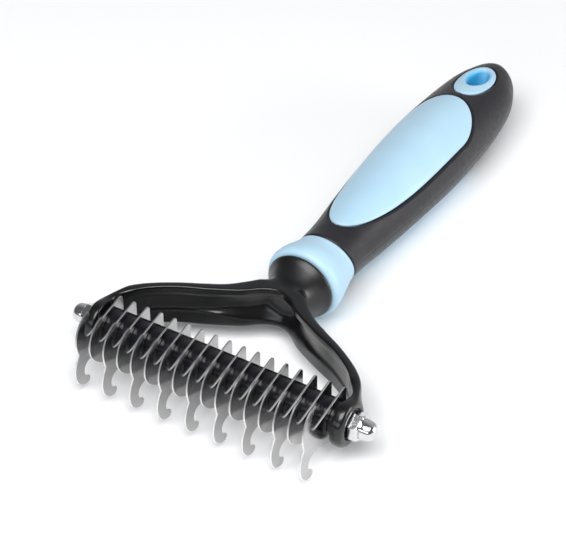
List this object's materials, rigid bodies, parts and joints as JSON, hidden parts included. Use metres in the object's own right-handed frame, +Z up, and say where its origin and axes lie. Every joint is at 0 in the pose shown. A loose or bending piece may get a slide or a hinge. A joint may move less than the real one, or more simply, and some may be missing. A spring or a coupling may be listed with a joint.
{
  "type": "undercoat rake",
  "caption": "Double-sided pet undercoat rake: forked yoke with a row of hooked and short steel blades, and a contoured handle with a hanging eye.",
  "frame": {"origin": "under the middle of the rake's bounding box, on the surface that it lies on", "axes": "+X along the axle, +Y from the blades towards the butt of the handle, +Z up, away from the surface, on the side of the short teeth"},
  "size_m": [0.1084, 0.204, 0.0292],
  "materials": {
    "yoke_plastic": "gloss, faint moulding texture",
    "core_plastic": "satin light blue",
    "grip_rubber": "matt soft touch",
    "blade_steel": "polished stamped strip",
    "spacer_plastic": "gloss",
    "nut_chrome": "bright nickel or chrome plating",
    "axle_steel": "drawn rod"
  },
  "bodies": {
    "root": {"yoke": "yoke_plastic", "handle_core": "core_plastic", "handle_grip": "grip_rubber", "axle": "axle_steel", "hook_blade_01": "blade_steel", "spacer_01": "spacer_plastic", "short_blade_02": "blade_steel", "spacer_02": "spacer_plastic", "hook_blade_03": "blade_steel", "spacer_03": "spacer_plastic", "short_blade_04": "blade_steel", "spacer_04": "spacer_plastic", "hook_blade_05": "blade_steel", "spacer_05": "spacer_plastic", "short_blade_06": "blade_steel", "spacer_06": "spacer_plastic", "hook_blade_07": "blade_steel", "spacer_07": "spacer_plastic", "short_blade_08": "blade_steel", "spacer_08": "spacer_plastic", "hook_blade_09": "blade_steel", "spacer_09": "spacer_plastic", "short_blade_10": "blade_steel", "spacer_10": "spacer_plastic", "hook_blade_11": "blade_steel", "spacer_11": "spacer_plastic", "short_blade_12": "blade_steel", "spacer_12": "spacer_plastic", "hook_blade_13": "blade_steel", "spacer_13": "spacer_plastic", "short_blade_14": "blade_steel", "spacer_14": "spacer_plastic", "hook_blade_15": "blade_steel", "spacer_15": "spacer_plastic", "short_blade_16": "blade_steel", "spacer_16": "spacer_plastic", "hook_blade_17": "blade_steel", "end_spacer_left": "spacer_plastic", "dome_nut_left": "nut_chrome", "end_spacer_right": "spacer_plastic", "dome_nut_right": "nut_chrome"}
  },
  "joints": []
}
